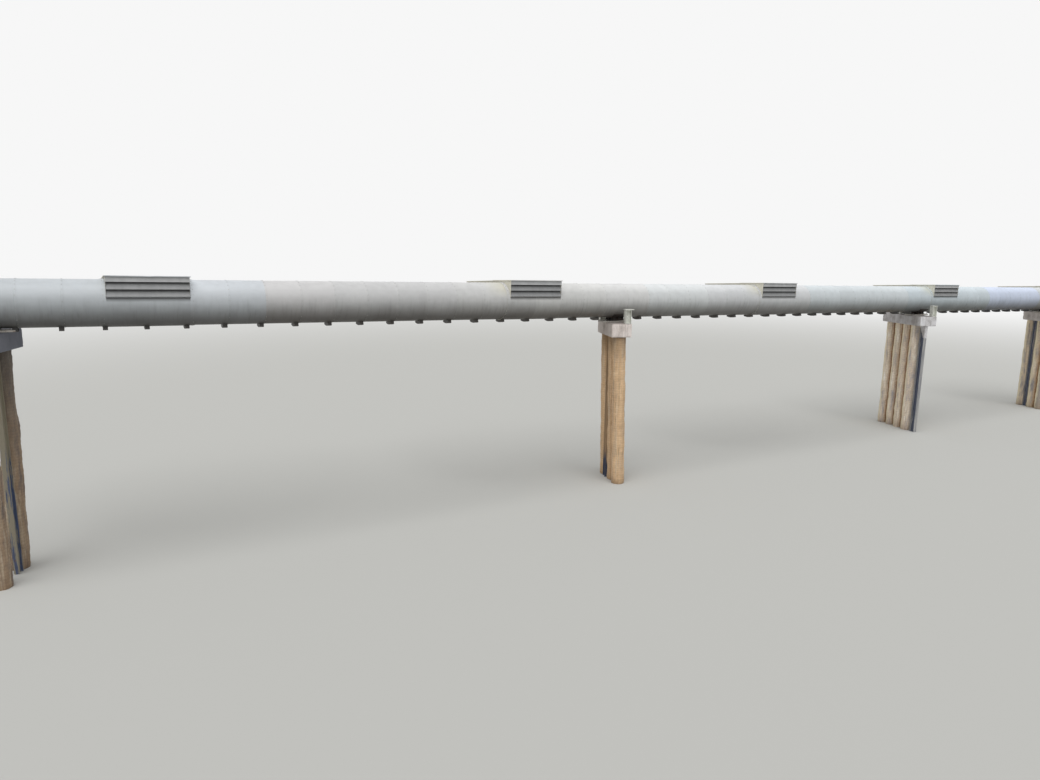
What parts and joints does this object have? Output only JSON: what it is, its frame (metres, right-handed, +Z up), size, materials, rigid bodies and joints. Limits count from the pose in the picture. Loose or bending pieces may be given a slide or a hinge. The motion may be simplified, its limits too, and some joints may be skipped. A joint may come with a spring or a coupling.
{
  "type": "overhead insulated pipeline crossing, 1:2 scale model",
  "caption": "Sheet-clad insulated pipeline carried over a road on skewed concrete pile piers, with louvred vent boxes astride the pipe; half-size model.",
  "frame": {"origin": "ground level under the middle of the whole crossing's box", "axes": "+X along the pipe towards its lower end, +Y across it away from the viewer, +Z up"},
  "size_m": [27.2896, 1.9284, 3.9559],
  "materials": {
    "carrier_steel": "dark primed steel with rust",
    "insulation_wool": "mineral wool, seen only at the pipe ends",
    "cladding_sheet": "weathered galvanised sheet, dull light grey, grimy underneath",
    "vent_sheet": "weathered galvanised sheet",
    "cap_concrete": "precast concrete, rain stained",
    "pile_concrete": "rough sandy concrete, dirty at the foot",
    "post_steel": "dark blue-grey paint with rust",
    "bearing_steel": "weathered light grey paint",
    "saddle_steel": "dark dirty paint with rust",
    "guide_steel": "pale green-grey paint"
  },
  "bodies": {
    "root": {"carrier_pipe": "carrier_steel", "insulation": "insulation_wool", "cladding_bay_1": "cladding_sheet", "cladding_bay_2": "cladding_sheet", "cladding_bay_3": "cladding_sheet", "seam_flaps": "cladding_sheet", "vent_sleeves": "vent_sheet", "vent_1_housing": "vent_sheet", "vent_1_louvres": "vent_sheet", "vent_1_roof": "vent_sheet", "vent_2_housing": "vent_sheet", "vent_2_louvres": "vent_sheet", "vent_2_roof": "vent_sheet", "vent_3_housing": "vent_sheet", "vent_3_louvres": "vent_sheet", "vent_3_roof": "vent_sheet", "vent_4_housing": "vent_sheet", "vent_4_louvres": "vent_sheet", "vent_4_roof": "vent_sheet", "vent_5_housing": "vent_sheet", "vent_5_louvres": "vent_sheet", "vent_5_roof": "vent_sheet", "pier_1_piles": "pile_concrete", "pier_1_cap": "cap_concrete", "pier_1_post": "post_steel", "pier_1_bearing": "bearing_steel", "pier_1_saddle": "saddle_steel", "pier_1_guides": "guide_steel", "pier_2_piles": "pile_concrete", "pier_2_cap": "cap_concrete", "pier_2_post": "post_steel", "pier_2_bearing": "bearing_steel", "pier_2_saddle": "saddle_steel", "pier_2_guides": "guide_steel", "pier_3_piles": "pile_concrete", "pier_3_cap": "cap_concrete", "pier_3_post": "post_steel", "pier_3_haunch": "cap_concrete", "pier_3_bearing": "bearing_steel", "pier_3_saddle": "saddle_steel", "pier_3_guides": "guide_steel", "pier_4_piles": "pile_concrete", "pier_4_cap": "cap_concrete", "pier_4_post": "post_steel", "pier_4_bearing": "bearing_steel", "pier_4_saddle": "saddle_steel", "pier_4_guides": "guide_steel"}
  },
  "joints": []
}
